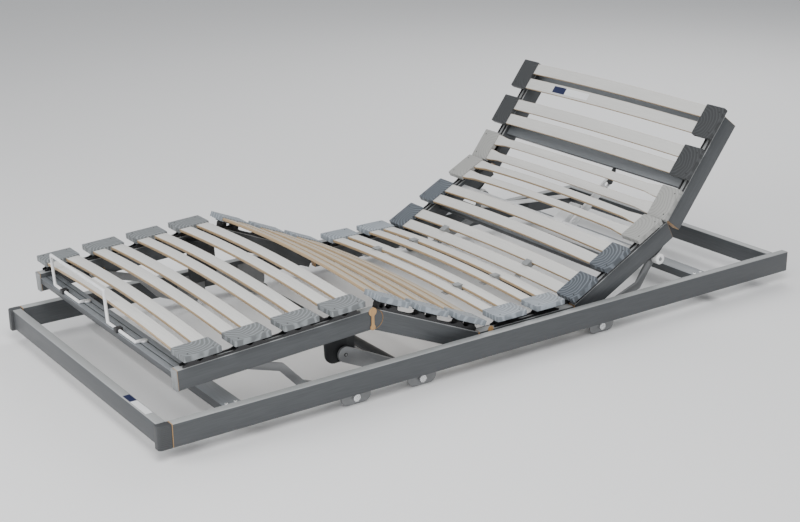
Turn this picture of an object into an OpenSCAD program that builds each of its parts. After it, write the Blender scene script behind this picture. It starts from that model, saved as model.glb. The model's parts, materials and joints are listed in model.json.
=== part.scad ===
// Adjustable slatted bed base with a lifting leg section and a folding back section.
// +X runs from the foot end to the head end, the near side is -Y, and Z = 0 is the
// underside of the six pivot brackets. Every section is drawn where it stands with
// the legs and the back raised; turning its joint by the tilt below lays it flat.

/* [Overall] */
// Width over the two side rails
base_w = 900; // [700:10:1200]
// Length of the side rails with their corner caps
base_l = 2000; // [1800:10:2200]

/* [Base frame] */
// Height of a side rail
rail_h = 58; // [50:1:72]
// Thickness of every wooden rail
rail_t = 23; // [20:1:30]
// How far the pivot brackets hang below the side rails
bracket_drop = 34; // [30:1:50]
// Foot cross rail, set back from the ends of the corner caps
foot_setback = 6.5; // [2:0.5:12]
// Head cross rail, its outer face from the ends of the side rails
head_setback = 40; // [20:1:60]
// Width of a flat tie board
tie_w = 50; // [40:1:60]
// Thickness of a flat tie board
tie_t = 22; // [16:1:24]
// Length of a corner cap along the side rail
corner_l = 34; // [24:1:50]
// Corner rounding of a corner cap
corner_r = 9; // [4:1:15]

/* [Sections] */
// Length of the fixed seat section
seat_l = 314; // [290:1:360]
// Length of the thigh section
thigh_l = 332; // [320:1:380]
// Length of the back section
back_l = 370; // [350:1:420]
// Length of the head section
head_l = 330; // [315:1:380]
// Height of the seat, thigh and calf rails
section_h = 50; // [40:1:52]
// Height of the back and head rails
back_h = 56; // [50:1:58]
// Room between the section rails and the side rails
side_gap = 21; // [18:1:30]
// Room between the calf section's end and the foot cross rail
foot_gap = 28; // [20:1:40]
// Room between the head section's end and the head cross rail
head_gap = 14; // [8:1:30]
// Gap between the cut ends of two neighbouring rails
end_gap = 2; // [1:0.5:4]

/* [Pose of the sections] */
// Tilt of the thigh section
thigh_tilt = 23.2; // [0:0.1:30]
// Fall of the calf section towards the foot end
calf_tilt = 2.9; // [0:0.1:5]
// Tilt of the back section
back_tilt = 27.4; // [0:0.1:45]
// Tilt of the head section
head_tilt = 52.9; // [0:0.1:58]

/* [Slats and caps] */
// Width of one slat
slat_w = 35; // [30:1:36]
// Thickness of one slat
slat_t = 8; // [6:0.5:9]
// Gap between the two slats of a pair
slat_gap = 16; // [12:1:20]
// Rise of a slat between its caps
slat_crown = 12; // [6:1:18]
// Distance from one pair of slats to the next
pair_pitch = 127; // [112:1:132]
// Length of a slat inside its cap
slat_seat = 26; // [18:1:34]
// Width of a cap across the bed
cap_w = 67; // [56:1:70]
// Thickness of a cap
cap_t = 14; // [12.5:0.5:16]
// Side wall of a cap
cap_wall = 4; // [3:0.5:6]
// Room between the cap and the side rail
cap_clear = 2; // [1:0.5:5]
// Height of the rubber body under a cap
mount_h = 21; // [16:1:24]
// Outer radius of a rubber ring
ring_r = 10.5; // [7:0.5:10.5]
// Wall of a rubber ring
ring_wall = 4; // [2.5:0.5:5]
// Clearance round a slat in its cap
slat_fit = 0.2; // [0.1:0.05:0.4]
// Number of slat pairs on the thigh section
thigh_pairs = 3; // [2:1:3]
// Number of slat pairs on the seat section
seat_pairs = 2; // [1:1:2]
// Number of slat pairs on the back section
back_pairs = 3; // [2:1:3]
// Number of slat pairs on the head section
head_pairs = 3; // [2:1:3]

/* [Firmness sliders] */
// Distance of a slider from the centre line
slider_y = 190; // [120:5:220]
// Width of a slider across the bed
slider_w = 22; // [16:1:30]
// Wall of a slider above and below its slats
slider_wall = 2.5; // [2:0.5:4]
// Room between a slider and the curved slats
slider_room = 2.6; // [2.4:0.1:4]

/* [Hinges] */
// Radius of a hinge pin
pin_r = 5; // [4:0.5:6]
// Thickness of a hinge plate
plate_t = 5; // [4:0.5:6]
// Length of a hinge plate along its rail
plate_l = 60; // [45:1:80]
// Radial clearance of a pin in its bore
pin_fit = 0.05; // [0.02:0.01:0.1]
// Clearance between parts that turn past each other
turn_gap = 0.4; // [0.3:0.1:1]

/* [Brackets and lift gear] */
// Width of a pivot bracket
bracket_w = 84; // [70:1:100]
// Corner radius of a pivot bracket
bracket_r = 20; // [10:1:28]
// Height of a pivot bolt above the brackets' underside
bolt_z = 17; // [14:1:20]
// Radius of a pivot bolt
bolt_r = 6; // [5:0.5:7]
// Radius of a bolt head
bolt_head_r = 10; // [8:0.5:13]
// Radius of a lift tube
tube_r = 12; // [10:0.5:13]
// Thickness of a lift arm
arm_t = 8; // [5:1:9]
// Radius of the roller that carries a back rail
roller_r = 15; // [12:0.5:17]
// Thickness of a foot stay
stay_t = 6; // [4:0.5:6.5]
// Width of a foot stay
stay_w = 20; // [14:1:22]

/* [Mattress retainer] */
// Radius of the retainer's wire
wire_r = 4; // [3:0.5:5]
// Height of the retainer above its feet
retainer_h = 82; // [60:1:110]
// Width of the retainer
retainer_w = 325; // [260:5:400]
// Length of a retainer foot along the board
retainer_foot = 155; // [120:5:180]
// Offset of the retainer's middle from the centre line
retainer_y = 137; // [100:1:150]

/* [Hidden] */
$fn = 48;
eps = 0.01;
slat_fn = 1440;

// Places across the bed, measured outwards from the centre line
rail_out = base_w / 2;
rail_in = rail_out - rail_t;
section_out = rail_in - side_gap;
section_in = section_out - rail_t;
section_mid = (section_out + section_in) / 2;
bracket_t = plate_t;
bracket_in = rail_in - bracket_t;
cap_out = rail_in - cap_clear;
cap_in = cap_out - cap_w;
stay_out = section_in - 1;
stay_in = stay_out - stay_t;
nut_in = stay_in - bolt_r;
foot_arm_out = nut_in - 2;
foot_arm_in = foot_arm_out - arm_t;
knee_plate_out = foot_arm_in - 4;
knee_plate_in = knee_plate_out - plate_t - 1;
back_arm_out = section_in - 5;
back_arm_in = back_arm_out - arm_t;
tie_end = stay_in - 3;

// Offsets of the gear from the hinges and the cross rails
section_lift = 52;
foot_bolt_back = 384;
knee_bolt_back = 191;
back_bolt_ahead = 82;
tie_foot_in = 200;
tie_head_in = 203;
seat_cap_end = 47;
cap_end = 12;
lever_run = 182;
lever_rise = 87;
bracket_up = 46;
bolt_head_t = 5;
bolt_tail = 26;
seat_block_l = 22;
seat_block_x = [118, 245];
board_drop = 28;
slider_lip = 3;
board_t = 16;

// Places along the bed
foot_x = -base_l / 2;
head_x = base_l / 2;
foot_rail_out = foot_x + foot_setback;
foot_rail_in = foot_rail_out + rail_t;
head_rail_out = head_x - head_setback;
head_rail_in = head_rail_out - rail_t;
back_x = head_rail_in - head_gap - head_l - back_l;
seat_x = back_x - seat_l;
calf_l = seat_x - thigh_l - foot_rail_in - foot_gap;
foot_bolt_x = seat_x - foot_bolt_back;
knee_bolt_x = seat_x - knee_bolt_back;
back_bolt_x = back_x + back_bolt_ahead;
tie_foot_x = foot_rail_in + tie_foot_in;
tie_head_x = head_rail_in - tie_head_in;

// Heights
rail_z = bracket_drop;
section_top = rail_z + section_lift;
mid_drop = section_h / 2;

// Slat pairs
pair_l = 2 * cap_wall + 2 * slat_w + slat_gap;
cap_z = mount_h;
slat_z = cap_z + (cap_t - slat_t) / 2;
slat_half = cap_in + slat_seat;
slat_arc_r = (cap_in * cap_in + slat_crown * slat_crown) / (2 * slat_crown);
calf_pairs = floor((calf_l - cap_end + pair_pitch - pair_l) / pair_pitch);
calf_first = -calf_l + cap_end;
thigh_first = -thigh_pairs * pair_pitch + pair_pitch - pair_l - 3;
seat_first = seat_l - seat_cap_end - (seat_pairs - 1) * pair_pitch - pair_l;
back_first = -6;
head_first = -8;

// Where each section turns
thigh_pivot = [seat_x, 0, section_top];
back_pivot = [back_x, 0, section_top];
knee_s = -thigh_l;
knee_pivot = thigh_pivot + turned([knee_s, -mid_drop], thigh_tilt);
head_pivot = back_pivot + turned([back_l, 0], -back_tilt);

// Foot stay and knee lever
stay_pivot = [foot_bolt_x, 0, bolt_z];
stay_end_s = -378;
stay_end_d = -10;
stay_end = knee_pivot + turned([stay_end_s, stay_end_d], -calf_tilt);
stay_slot = 30;
stay_pin_r = 4;
stay_slot_r = 7;
stay_slot_depth = 10;
lever_pivot = [knee_bolt_x, 0, bolt_z];
lever_pin = [knee_bolt_x - lever_run, 0, bolt_z + lever_rise];
lever_pin_r = 6;
lever_hole_r = 12.5;
lever_hole_l = 6;
lever_eye_r = 20;
lever_root_r = 18;
knee_hole = unturned(lever_pin - knee_pivot, -calf_tilt);
knee_bend_max = 40;

// Back lever: the roller's centre from the hinge of the back section
back_lever_pivot = [back_bolt_x, 0, bolt_z];
roller_s = 306;
roller_d = -back_h - roller_r - 14;
roller_c = back_pivot + turned([roller_s, roller_d], -back_tilt);
roller_reach = norm(roller_c - back_lever_pivot);
roller_angle = atan2(roller_c[2] - back_lever_pivot[2], roller_c[0] - back_lever_pivot[0]);
back_lever_ratio = 1.14;
back_arm_r = 11;
cam_t = 6;
cam_steps = [for (b = [3:3:54]) b];

// Mattress retainer on the calf section's foot board
board_top = 12;
wire_s = -calf_l + 7;

// Head strut
strut_anchor_s = back_l - 93;
strut_anchor_d = -30;
strut_end_s = 65;
strut_end_d = -30;
strut_y = -100;
strut_t = 8;
strut_a = back_pivot + turned([strut_anchor_s, strut_anchor_d], -back_tilt);
strut_b = head_pivot + turned([strut_end_s, strut_end_d], -head_tilt);
strut_slot = 26;
head_board_s = 104;
brace_t = 4;
brace_r = 8;
brace_foot_s = 206;
brace_foot_y = 224;
brace_run = 76;
brace_head_y = -20;
housing_l = 84;
housing_w = 44;

// ---------- geometry helpers ----------

// A point [s, d] of a section, turned about +Y by an angle into the bed's frame
function turned(p, a) = [p[0] * cos(a) + p[1] * sin(a), 0, -p[0] * sin(a) + p[1] * cos(a)];

// The reverse of turned(): a place in the bed's frame as [s, d] of a section
function unturned(v, a) = [v[0] * cos(a) - v[2] * sin(a), v[0] * sin(a) + v[2] * cos(a)];

// Extrudes an outline drawn in X and Z from y0 to y1
module across(y0, y1) {
    translate([0, y1, 0])
        rotate([90, 0, 0])
            linear_extrude(y1 - y0)
                children();
}

// A cylinder along Y through the point c = [x, z], from y0 to y1
module rod(c, r, y0, y1) {
    translate([c[0], y1, c[1]])
        rotate([90, 0, 0])
            cylinder(r = r, h = y1 - y0);
}

// Its children on the far side, and their mirror image on the near side
module both_sides() {
    children();
    mirror([0, 1, 0])
        children();
}

// A rectangle with round corners, from its lower corner
module round_rect(size, r) {
    translate([r, 0])
        square([size[0] - 2 * r, size[1]]);
    translate([0, r])
        square([size[0], size[1] - 2 * r]);
    for (x = [r, size[0] - r], y = [r, size[1] - r])
        translate([x, y])
            circle(r);
}

// A straight bar with round ends between two points of an outline
module link(a, b, ra, rb) {
    v = b - a;
    l = norm(v);
    w = [-v[1], v[0]] / l;
    translate(a)
        circle(ra);
    translate(b)
        circle(rb);
    polygon([a - w * ra, b - w * rb, b + w * rb, a + w * ra]);
}

// Section frames: X along the rail, Z up from its top edge, or from mid-height for the calf
module at_seat() {
    translate([seat_x, 0, section_top])
        children();
}

module at_thigh() {
    translate(thigh_pivot)
        rotate([0, thigh_tilt, 0])
            children();
}

module at_calf() {
    translate(knee_pivot)
        rotate([0, -calf_tilt, 0])
            children();
}

module at_back() {
    translate(back_pivot)
        rotate([0, -back_tilt, 0])
            children();
}

module at_head() {
    translate(head_pivot)
        rotate([0, -head_tilt, 0])
            children();
}

// ---------- slats, caps, rubber bodies and sliders ----------

// The curved body of one slat, grown by a clearance
module slat_form(grow) {
    length = 2 * (slat_half + grow);
    arc_z = slat_z + slat_crown - slat_arc_r;
    intersection() {
        translate([-grow, -length / 2, 0])
            cube([slat_w + 2 * grow, length, 2 * (cap_z + cap_t + slat_crown)]);
        translate([-grow - 1, 0, arc_z])
            rotate([0, 90, 0])
                difference() {
                    cylinder(r = slat_arc_r + slat_t + grow, h = slat_w + 2 * grow + 2, $fn = slat_fn);
                    translate([0, 0, -1])
                        cylinder(r = slat_arc_r - grow, h = slat_w + 2 * grow + 4, $fn = slat_fn);
                }
    }
}

// The two slats of a pair, side by side
module slat_pair(grow = 0) {
    for (x = [cap_wall, cap_wall + slat_w + slat_gap])
        translate([x, 0, 0])
            slat_form(grow);
}

module slats(first, count) {
    color("whitesmoke")
        for (i = [0:count - 1])
            translate([first + i * pair_pitch, 0, 0])
                slat_pair();
}

// Both caps of a pair, with a pocket for each slat
module cap_pair() {
    difference() {
        both_sides()
            translate([0, cap_in, cap_z])
                linear_extrude(cap_t)
                    round_rect([pair_l, cap_w], 3);
        slat_pair(slat_fit);
    }
}

module caps(first, count, shade) {
    color(shade)
        for (i = [0:count - 1])
            translate([first + i * pair_pitch, 0, 0])
                cap_pair();
}

// One rubber body: two rings between a foot on the rail and a saddle under the cap
module rubber_mount() {
    ring_x = [pair_l / 2 - 20, pair_l / 2 + 20];
    across(section_in + 1, section_out - 1)
        difference() {
            union() {
                for (x = ring_x)
                    translate([x, mount_h / 2])
                        circle(ring_r);
                translate([10, mount_h - 4])
                    square([pair_l - 20, 4]);
                translate([18, 0])
                    square([pair_l - 36, 4]);
                for (x = ring_x)
                    translate([x - 2, 0])
                        square([4, mount_h]);
            }
            for (x = ring_x)
                translate([x, mount_h / 2])
                    circle(ring_r - ring_wall);
        }
}

module mounts(first, count) {
    color("black")
        for (i = [0:count - 1])
            translate([first + i * pair_pitch, 0, 0])
                both_sides()
                    rubber_mount();
}

// A block that slides between the two slats of a pair and stiffens them from below,
// with lips over their inner edges
module slider(first, y) {
    rise = slat_z + slat_crown - y * y / (2 * slat_arc_r);
    slot_h = slat_t + 2 * slider_room;
    body_h = slot_h + 2 * slider_wall;
    color("silver")
        translate([first, y - slider_w / 2, rise - slider_room - slider_wall])
            difference() {
                translate([cap_wall - 3, 0, 0])
                    cube([pair_l - 2 * cap_wall + 6, slider_w, body_h]);
                for (x = [cap_wall, cap_wall + slat_w + slat_gap])
                    translate([x - turn_gap, -1, slider_wall])
                        cube([slat_w + 2 * turn_gap, slider_w + 2, slot_h]);
                for (x = [0, pair_l - cap_wall - slat_w + slider_lip])
                    translate([x, -1, slider_wall])
                        cube([cap_wall + slat_w - slider_lip, slider_w + 2, body_h]);
            }
}

// ---------- rails of the sections ----------

// A rail from x0 to x1 with its top edge at z = 0
module section_rail(x0, x1, h) {
    translate([x0, section_in, -h])
        cube([x1 - x0, rail_t, h]);
}

// The fixed half of a top hinge: a plate with a lug and a pin, for a pivot at the origin.
// The rail runs along +X when side is 1 and along -X when it is -1.
module pin_plate(side) {
    lug_r = pin_r + 4;
    across(section_in - plate_t, section_in - turn_gap)
        union() {
            circle(lug_r);
            translate([side > 0 ? 0 : -plate_l, -lug_r - 6])
                square([plate_l, lug_r + 5]);
        }
    translate([side > 0 ? end_gap : -plate_l, section_in - turn_gap - eps, -lug_r - 6])
        cube([plate_l - end_gap, turn_gap + eps, lug_r + 5]);
    rod([0, 0], pin_r, section_in - 2 * plate_t - 2, section_in - plate_t + 1);
}

// The turning half: a cranked leaf with a bore, screwed to the neighbouring rail
module bore_leaf(side) {
    lug_r = pin_r + 4;
    y1 = section_in - plate_t - turn_gap;
    crank = lug_r + 8;
    difference() {
        union() {
            across(y1 - plate_t, y1)
                union() {
                    circle(lug_r);
                    translate([side > 0 ? 0 : -plate_l, -lug_r - 6])
                        square([plate_l, lug_r + 5]);
                }
            across(y1 - eps, section_in)
                translate([side > 0 ? crank : -plate_l, -lug_r - 6])
                    square([plate_l - crank, lug_r + 5]);
        }
        rod([0, 0], pin_r + pin_fit, y1 - plate_t - 1, y1 + 1);
    }
}

// ---------- base frame ----------

module side_rail() {
    translate([foot_x + corner_l, rail_in, rail_z])
        cube([base_l - corner_l, rail_t, rail_h]);
}

module side_rail_near() {
    color("dimgray")
        mirror([0, 1, 0])
            side_rail();
}

module side_rail_far() {
    color("dimgray")
        side_rail();
}

module foot_cross_rail() {
    color("dimgray")
        translate([foot_rail_out, -rail_in, rail_z + 6])
            cube([rail_t, 2 * rail_in, rail_h - 6]);
}

module head_cross_rail() {
    color("dimgray")
        translate([head_rail_in, -rail_in, rail_z + 8])
            cube([rail_t, 2 * rail_in, rail_h - 8]);
}

// One corner cap: a block with a round outer corner that holds side rail and cross rail
module corner_caps() {
    color("gray")
        both_sides()
            translate([foot_x, rail_in, rail_z])
                linear_extrude(rail_h)
                    union() {
                        square([corner_l, rail_t - corner_r]);
                        translate([corner_r, 0])
                            square([corner_l - corner_r, rail_t]);
                        translate([corner_r, rail_t - corner_r])
                            circle(corner_r);
                    }
}

module tie_boards() {
    color("dimgray")
        for (x = [tie_foot_x, tie_head_x])
            translate([x - tie_w / 2, -tie_end, rail_z])
                cube([tie_w, 2 * tie_end, tie_t]);
}

// Steel straps that carry a tie board, low enough to let the section rails pass over
module board_hanger() {
    strap_t = 3.5;
    strap_top = section_top - back_h - turn_gap - 0.6;
    strap_w = tie_w - 12;
    translate([-strap_w / 2, 0, 0]) {
        translate([0, tie_end - 30, strap_top - strap_t])
            cube([strap_w, rail_in - tie_end + 30, strap_t]);
        translate([0, tie_end - 30, strap_top - strap_t])
            cube([strap_w, strap_t, rail_z - strap_top + strap_t]);
        translate([0, rail_in - strap_t, strap_top - strap_t])
            cube([strap_w, strap_t, 50]);
    }
}

// Blocks that carry a seat rail beside its side rail
module seat_block(x) {
    translate([x - seat_block_l / 2, section_out, section_top - section_h + 8])
        cube([seat_block_l, side_gap, section_h - 14]);
}

module frame_hangers() {
    color("gray")
        both_sides() {
            for (x = [tie_foot_x, tie_head_x])
                translate([x, 0, 0])
                    board_hanger();
            for (x = seat_block_x)
                seat_block(seat_x + x);
        }
}

module support_brackets() {
    color("darkgray")
        both_sides()
            for (x = [foot_bolt_x, knee_bolt_x, back_bolt_x])
                translate([x - bracket_w / 2, 0, 0])
                    across(bracket_in, rail_in)
                        difference() {
                            union() {
                                round_rect([bracket_w, rail_z + bracket_up], bracket_r);
                                translate([0, bracket_r])
                                    square([bracket_w, rail_z + bracket_up - bracket_r]);
                            }
                            translate([bracket_w / 2, bolt_z])
                                circle(bolt_r + pin_fit);
                        }
}

// A bolt from outside the bracket inwards to the depth y0
module pivot_bolt(x, y0) {
    rod([x, bolt_z], bolt_r, y0, rail_in + 1);
    rod([x, bolt_z], bolt_head_r, rail_in, rail_in + bolt_head_t);
}

module pivot_bolts() {
    color("white")
        both_sides() {
            pivot_bolt(foot_bolt_x, nut_in);
            rod([foot_bolt_x, bolt_z], bolt_head_r, nut_in, stay_in - turn_gap);
            for (x = [knee_bolt_x, back_bolt_x])
                pivot_bolt(x, bracket_in - bolt_tail);
        }
}

// ---------- seat section, fixed to the base ----------

module seat_rails() {
    color("dimgray")
        at_seat()
            both_sides()
                section_rail(end_gap / 2, seat_l - end_gap / 2, section_h);
}

module seat_hinges() {
    color("darkgray")
        at_seat()
            both_sides() {
                pin_plate(1);
                translate([seat_l, 0, 0])
                    pin_plate(-1);
            }
}

module seat_mounts() {
    at_seat()
        mounts(seat_first, seat_pairs);
}

module seat_caps() {
    at_seat()
        caps(seat_first, seat_pairs, "lightsteelblue");
}

module seat_slats() {
    at_seat()
        slats(seat_first, seat_pairs);
}

module seat_slider_1_near() {
    at_seat()
        slider(seat_first, -slider_y);
}

module seat_slider_1_far() {
    at_seat()
        slider(seat_first, slider_y);
}

module seat_slider_2_near() {
    at_seat()
        slider(seat_first + (seat_pairs - 1) * pair_pitch, -slider_y);
}

module seat_slider_2_far() {
    at_seat()
        slider(seat_first + (seat_pairs - 1) * pair_pitch, slider_y);
}

module back_slider_near() {
    at_back()
        slider(back_first, -slider_y);
}

module back_slider_far() {
    at_back()
        slider(back_first, slider_y);
}

// ---------- thigh section ----------

// The knee end is cut hollow round the calf rail's round end, and its lower tip
// is cut back so that the calf rail can fold under it
module thigh_rail() {
    at_thigh()
        difference() {
            section_rail(knee_s, -end_gap / 2, section_h);
            rod([knee_s, -mid_drop], mid_drop + turn_gap, section_in - 1, section_out + 1);
            translate([knee_s, 0, -mid_drop])
                rotate([0, -knee_bend_max, 0])
                    translate([-section_h, section_in - 1, -mid_drop - turn_gap])
                        cube([section_h, rail_t + 2, mid_drop]);
        }
}

module thigh_rail_near() {
    color("dimgray")
        mirror([0, 1, 0])
            thigh_rail();
}

module thigh_rail_far() {
    color("dimgray")
        thigh_rail();
}

// A plate on the thigh rail whose pin turns in the calf rail
module knee_hinge() {
    disc_r = 20;
    across(section_in - plate_t, section_in - turn_gap)
        translate([knee_s, -mid_drop])
            link([0, 0], [mid_drop + 40, 0], disc_r, disc_r - 6);
    across(section_in - plate_t, section_in)
        translate([knee_s + mid_drop + 6, -mid_drop - 12])
            square([40, 24]);
    rod([knee_s, -mid_drop], pin_r, section_in - plate_t, section_out - 2);
}

module thigh_hinges() {
    color("darkgray")
        at_thigh()
            both_sides() {
                bore_leaf(-1);
                knee_hinge();
            }
}

module thigh_mounts() {
    at_thigh()
        mounts(thigh_first, thigh_pairs);
}

module thigh_caps() {
    at_thigh()
        caps(thigh_first, thigh_pairs, "gray");
}

module thigh_slats() {
    at_thigh()
        slats(thigh_first, thigh_pairs);
}

// ---------- calf section ----------

// A rail with a round end at the knee, a bore for the hinge pin and a slot for the foot stay
module calf_rail() {
    at_calf()
        difference() {
            union() {
                translate([-calf_l, section_in, -mid_drop])
                    cube([calf_l, rail_t, section_h]);
                rod([0, 0], mid_drop, section_in, section_out);
            }
            rod([0, 0], pin_r + pin_fit, section_in - 1, section_out - 1);
            across(section_in - 1, section_in + stay_slot_depth)
                link([stay_end_s - stay_slot, stay_end_d], [stay_end_s + stay_slot, stay_end_d],
                     stay_slot_r, stay_slot_r);
        }
}

module calf_rail_near() {
    color("dimgray")
        mirror([0, 1, 0])
            calf_rail();
}

module calf_rail_far() {
    color("dimgray")
        calf_rail();
}

module calf_foot_board() {
    board_l = 48;
    groove = 3;
    color("dimgray")
        at_calf()
            difference() {
                translate([-calf_l, -section_in, -4])
                    cube([board_l, 2 * section_in, 16]);
                for (x = [15, 32])
                    translate([-calf_l + x, -section_in - 1, 12 - groove])
                        cube([groove, 2 * section_in + 2, groove + 1]);
            }
}

module calf_end_caps() {
    color("gray")
        at_calf()
            both_sides()
                translate([-calf_l - 5, section_in - 1, -mid_drop])
                    linear_extrude(section_h)
                        union() {
                            translate([0, 5])
                                square([5, rail_t - 8]);
                            translate([5, 5])
                                intersection() {
                                    circle(5);
                                    translate([-6, -6])
                                        square(6);
                                }
                            translate([5, rail_t - 3])
                                intersection() {
                                    circle(5);
                                    translate([-6, 0])
                                        square(6);
                                }
                        }
}

module calf_mounts() {
    at_calf()
        translate([0, 0, mid_drop])
            mounts(calf_first, calf_pairs);
}

module calf_caps() {
    at_calf()
        translate([0, 0, mid_drop])
            caps(calf_first, calf_pairs, "lightgray");
}

module calf_slats() {
    at_calf()
        translate([0, 0, mid_drop])
            slats(calf_first, calf_pairs);
}

// A hanging plate on each calf rail that takes the pin of the knee lever
module knee_plates() {
    plate_w = 84;
    plate_s = knee_hole[0] - 50;
    plate_low = knee_hole[1] - 20;
    color("darkslategray")
        at_calf()
            both_sides()
                difference() {
                    union() {
                        across(knee_plate_in, knee_plate_out)
                            translate([plate_s, plate_low])
                                union() {
                                    round_rect([plate_w, 15 - plate_low], 26);
                                    translate([0, 40])
                                        square([plate_w, -25 - plate_low]);
                                }
                        translate([plate_s + 4, knee_plate_out - eps, -18])
                            cube([52, section_in - knee_plate_out + eps, 33]);
                    }
                    across(knee_plate_in - 1, knee_plate_out + 1)
                        link(knee_hole, knee_hole + [lever_hole_l, 0], lever_hole_r, lever_hole_r);
                }
}

// A bent wire frame that keeps the mattress from sliding off the foot end
module mattress_retainer() {
    wire_z = board_top + wire_r;
    y0 = retainer_y - retainer_w / 2;
    y1 = retainer_y + retainer_w / 2;
    top_z = wire_z + retainer_h;
    color("white")
        at_calf()
            union() {
                translate([wire_s, 0, 0]) {
                    for (y = [y0, y1]) {
                        translate([0, y, wire_z])
                            cylinder(r = wire_r, h = retainer_h);
                        translate([0, y, wire_z])
                            sphere(wire_r);
                        translate([0, y, top_z])
                            sphere(wire_r);
                        rod([0, wire_z], wire_r, y - retainer_foot, y);
                        translate([0, y - retainer_foot, wire_z])
                            sphere(wire_r);
                        translate([0, y - retainer_foot, wire_z])
                            rotate([0, 90, 0])
                                cylinder(r = wire_r, h = 14);
                        translate([20, y - retainer_foot, board_top])
                            cylinder(r = 9, h = 4);
                    }
                    rod([0, top_z], wire_r, y0, y1);
                }
            }
}

module retainer_clips() {
    y0 = retainer_y - retainer_w / 2;
    y1 = retainer_y + retainer_w / 2;
    color("black")
        at_calf()
            for (y = [y0 - 60, y1 - 60])
                translate([wire_s, y, board_top])
                    difference() {
                        translate([-9, -8, 0])
                            cube([18, 16, 2 * wire_r + 3]);
                        rod([0, wire_r], wire_r + slat_fit, -9, 9);
                        translate([-wire_r - slat_fit, -9, -1])
                            cube([2 * (wire_r + slat_fit), 18, wire_r + 1]);
                    }
}

// ---------- foot stays and knee lever ----------

module foot_stay() {
    bend_low = [stay_pivot[0] - 122, stay_pivot[2] + 50];
    bend_high = [stay_pivot[0] - 174, stay_pivot[2] + 106];
    end = [stay_end[0], stay_end[2]];
    r = stay_w / 2;
    difference() {
        union() {
            across(stay_in, stay_out)
                union() {
                    link([stay_pivot[0], stay_pivot[2]], bend_low, r + 3, r);
                    link(bend_low, bend_high, r, r);
                    link(bend_high, end, r, r);
                }
            rod(end, stay_pin_r, stay_in + 1, section_in + stay_slot_depth - 2);
        }
        rod([stay_pivot[0], stay_pivot[2]], bolt_r + pin_fit, stay_in - 1, stay_out + 1);
    }
}

module foot_stay_near() {
    color("silver")
        mirror([0, 1, 0])
            foot_stay();
}

module foot_stay_far() {
    color("silver")
        foot_stay();
}

// A tube between two brackets that turns on their bolts
module lift_tube(c) {
    difference() {
        rod(c, tube_r, -bracket_in + turn_gap, bracket_in - turn_gap);
        rod(c, bolt_r + pin_fit, -bracket_in - 1, bracket_in + 1);
    }
}

module foot_lift_tube() {
    color("slategray")
        lift_tube([lever_pivot[0], lever_pivot[2]]);
}

// Tapered levers on the tube, each with a pin in the knee plate
module foot_lift_arms() {
    root = [lever_pivot[0], lever_pivot[2]];
    end = [lever_pin[0], lever_pin[2]];
    color("slategray")
        both_sides()
            difference() {
                union() {
                    across(foot_arm_in, foot_arm_out)
                        link(root, end, lever_root_r, lever_eye_r);
                    rod(end, lever_pin_r, knee_plate_in - 2, foot_arm_in + 1);
                }
                rod(root, tube_r, foot_arm_in - 1, foot_arm_out + 1);
            }
}

// ---------- back section ----------

module back_rail() {
    at_back()
        section_rail(end_gap / 2, back_l - end_gap / 2, back_h);
}

module back_rail_near() {
    color("dimgray")
        mirror([0, 1, 0])
            back_rail();
}

module back_rail_far() {
    color("dimgray")
        back_rail();
}

module back_cross_board() {
    color("dimgray")
        at_back()
            translate([150, -section_in, -board_drop])
                cube([50, 2 * section_in, board_t]);
}

// The roller's centre in the back section's frame when that section is tilted by b
function roller_place(b) =
    let (turn = roller_angle + (b - back_tilt) * back_lever_ratio)
    let (c = back_lever_pivot + roller_reach * [cos(turn), 0, sin(turn)])
    unturned(c - back_pivot, -b);

// The point of the cam that the roller touches at the tilt b
function cam_point(b) =
    let (v = roller_place(b + 0.5) - roller_place(b - 0.5))
    let (up = [-v[1], v[0]] / norm(v))
    roller_place(b) + (up[1] > 0 ? up : -up) * (roller_r + turn_gap);

// A hardened strip under the rail, shaped so that the roller follows it all the way
module roller_cam() {
    path = [for (b = cam_steps) cam_point(b)];
    first = path[0];
    last = path[len(path) - 1];
    across(section_mid - cam_t / 2, section_mid + cam_t / 2)
        polygon(concat([[last[0], -back_h], [first[0], -back_h]], path));
}

module back_brackets() {
    color("darkgray")
        at_back()
            both_sides() {
                bore_leaf(1);
                translate([back_l, 0, 0])
                    pin_plate(-1);
                roller_cam();
            }
}

module back_mounts() {
    at_back()
        mounts(back_first, back_pairs);
}

module back_caps() {
    at_back()
        caps(back_first, back_pairs, "slategray");
}

module back_slats() {
    at_back()
        slats(back_first, back_pairs);
}

// ---------- head strut ----------

// A cast foot on its own board that carries the strut's pin, with a flat diagonal
// brace across the section and a housing beside the foot
module strut_anchor() {
    s = strut_anchor_s;
    d = strut_anchor_d;
    color("silver")
        at_back() {
            translate([s - 42, -section_in, -board_drop])
                cube([24, 2 * section_in, board_t]);
            across(strut_y - strut_t / 2 - 6, strut_y - strut_t / 2 - turn_gap)
                link([s - 30, -20], [s, d], 10, 9);
            rod([s, d], pin_r, strut_y - strut_t / 2 - 4, strut_y + strut_t / 2 + 2);
            translate([0, 0, board_t - board_drop])
                linear_extrude(brace_t)
                    link([brace_foot_s, brace_foot_y], [s + brace_run, brace_head_y], brace_r, brace_r);
            translate([s - 30, strut_y + strut_t / 2 + turn_gap + 6, -board_drop])
                cube([housing_l, housing_w, board_t + brace_t]);
        }
}

module head_strut() {
    a = [strut_a[0], strut_a[2]];
    b = [strut_b[0], strut_b[2]];
    u = (b - a) / norm(b - a);
    color("whitesmoke")
        difference() {
            across(strut_y - strut_t / 2, strut_y + strut_t / 2)
                union() {
                    link(a, b + u * 12, 12, 12);
                }
            rod(a, pin_r + pin_fit, strut_y - strut_t, strut_y + strut_t);
            across(strut_y - strut_t, strut_y + strut_t)
                link(b - u * strut_slot / 2, b + u * strut_slot / 2, pin_r + 2, pin_r + 2);
        }
}

// ---------- back lever ----------

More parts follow.
